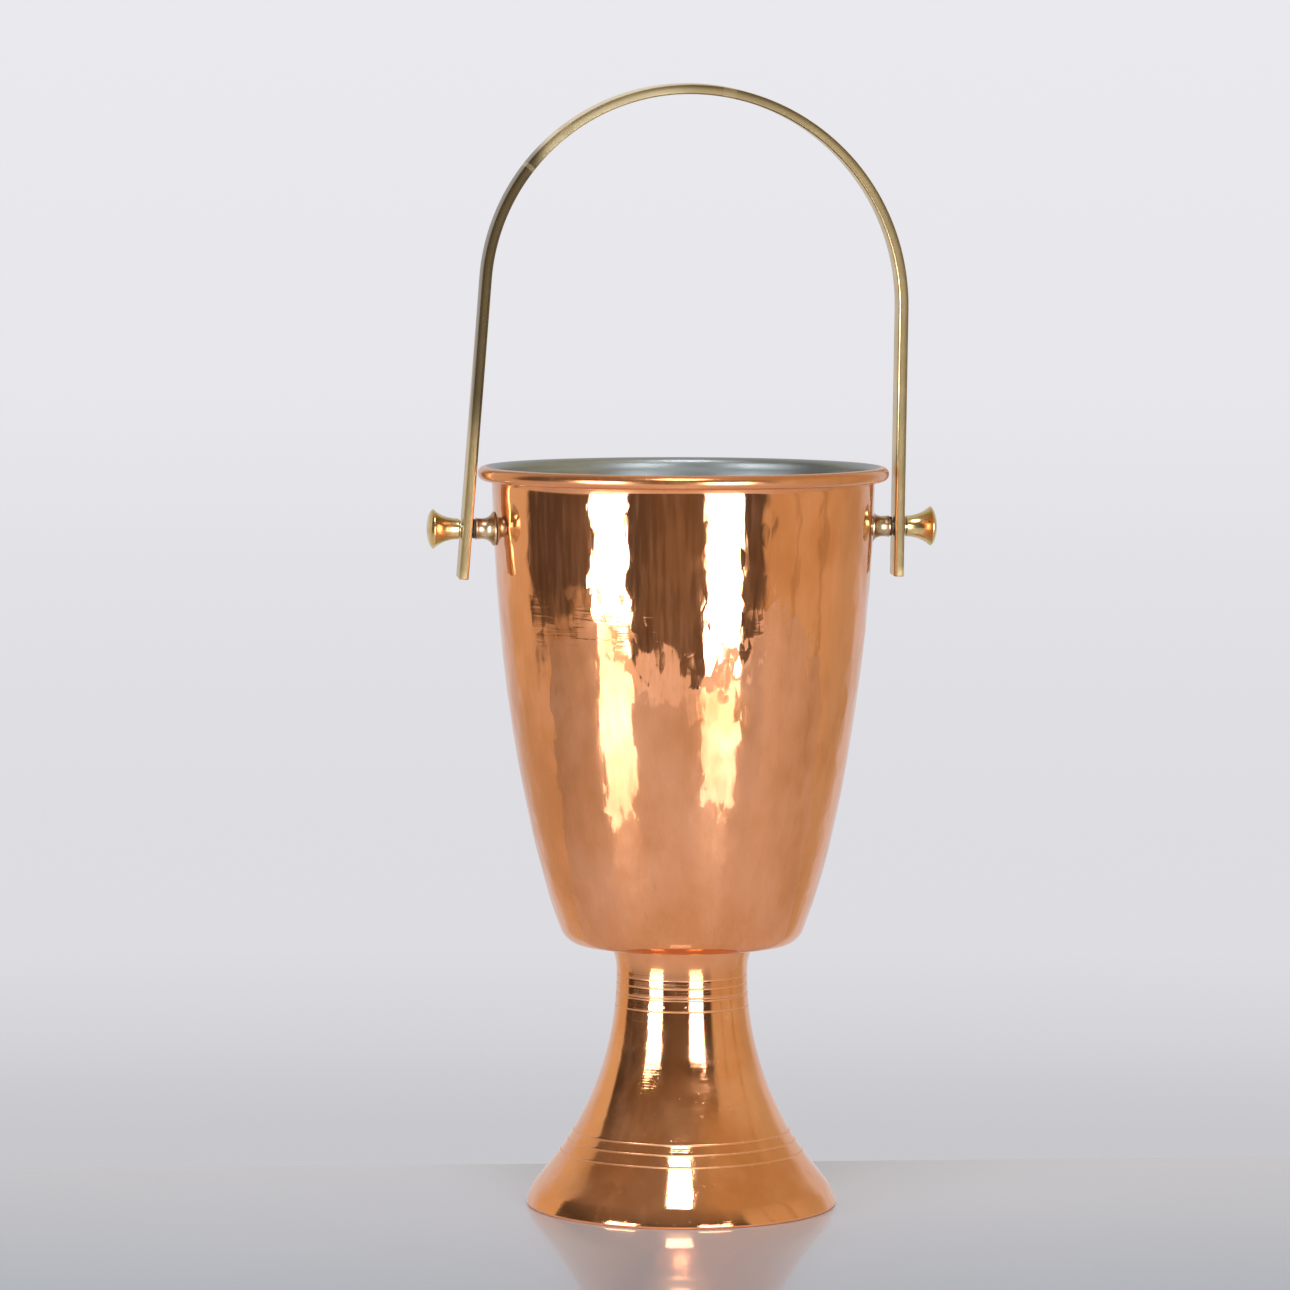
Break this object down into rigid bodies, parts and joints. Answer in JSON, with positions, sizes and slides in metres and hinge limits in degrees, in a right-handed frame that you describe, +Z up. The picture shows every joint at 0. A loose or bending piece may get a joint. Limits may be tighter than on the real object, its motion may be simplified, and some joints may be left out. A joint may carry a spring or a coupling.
{
  "type": "ice bucket",
  "caption": "Footed copper ice bucket with a rolled rim, tinned inside and an arched flat-bar brass bail on trumpet-shaped pivot knobs.",
  "frame": {"origin": "on the bucket's axis, at the level of the surface that the foot stands on", "axes": "+Z up along the bucket's axis, X along the bail's pivot axis; the bail leans slightly towards -Y"},
  "size_m": [0.2518, 0.2006, 0.5489],
  "materials": {
    "planished_copper": "hand-planished copper, polished and brushed upright",
    "polished_copper": "spun copper, mirror polished",
    "tin": "wiped tin, satin",
    "aged_brass": "drawn flat bar, hand polished, lightly aged",
    "polished_brass": "turned and polished",
    "plated_steel": "plated",
    "dark_fibre": "dark fibre"
  },
  "bodies": {
    "bucket": {"bucket_shell": "planished_copper", "tin_lining": "tin", "rim_wire": "plated_steel", "foot_shell": "polished_copper", "foot_bolt": "polished_brass", "bolt_seal": "dark_fibre", "foot_washer": "plated_steel", "foot_nut": "plated_steel", "spacer_left": "polished_brass", "spacer_right": "polished_brass", "thrust_washer_left": "dark_fibre", "thrust_washer_right": "dark_fibre", "knob_washer_left": "polished_brass", "knob_washer_right": "polished_brass", "pivot_screw_left": "plated_steel", "pivot_screw_right": "plated_steel", "screw_washer_left": "plated_steel", "screw_washer_right": "plated_steel"},
    "bail": {"bail_handle": "aged_brass"},
    "knob_left": {"knob_left": "polished_brass"},
    "knob_right": {"knob_right": "polished_brass"}
  },
  "joints": [
    {"name": "bail_swing", "type": "hinge", "parent": "bucket", "child": "bail", "pos_m": [0, 0, 0.3331], "axis": [1, 0, 0], "range_deg": [-166, 158]},
    {"name": "knob_left_turn", "type": "hinge", "parent": "bucket", "child": "knob_left", "pos_m": [-0.112, 0, 0.3331], "axis": [-1, 0, 0], "range_deg": [0, 360]},
    {"name": "knob_right_turn", "type": "hinge", "parent": "bucket", "child": "knob_right", "pos_m": [0.112, 0, 0.3331], "axis": [1, 0, 0], "range_deg": [0, 360]}
  ]
}
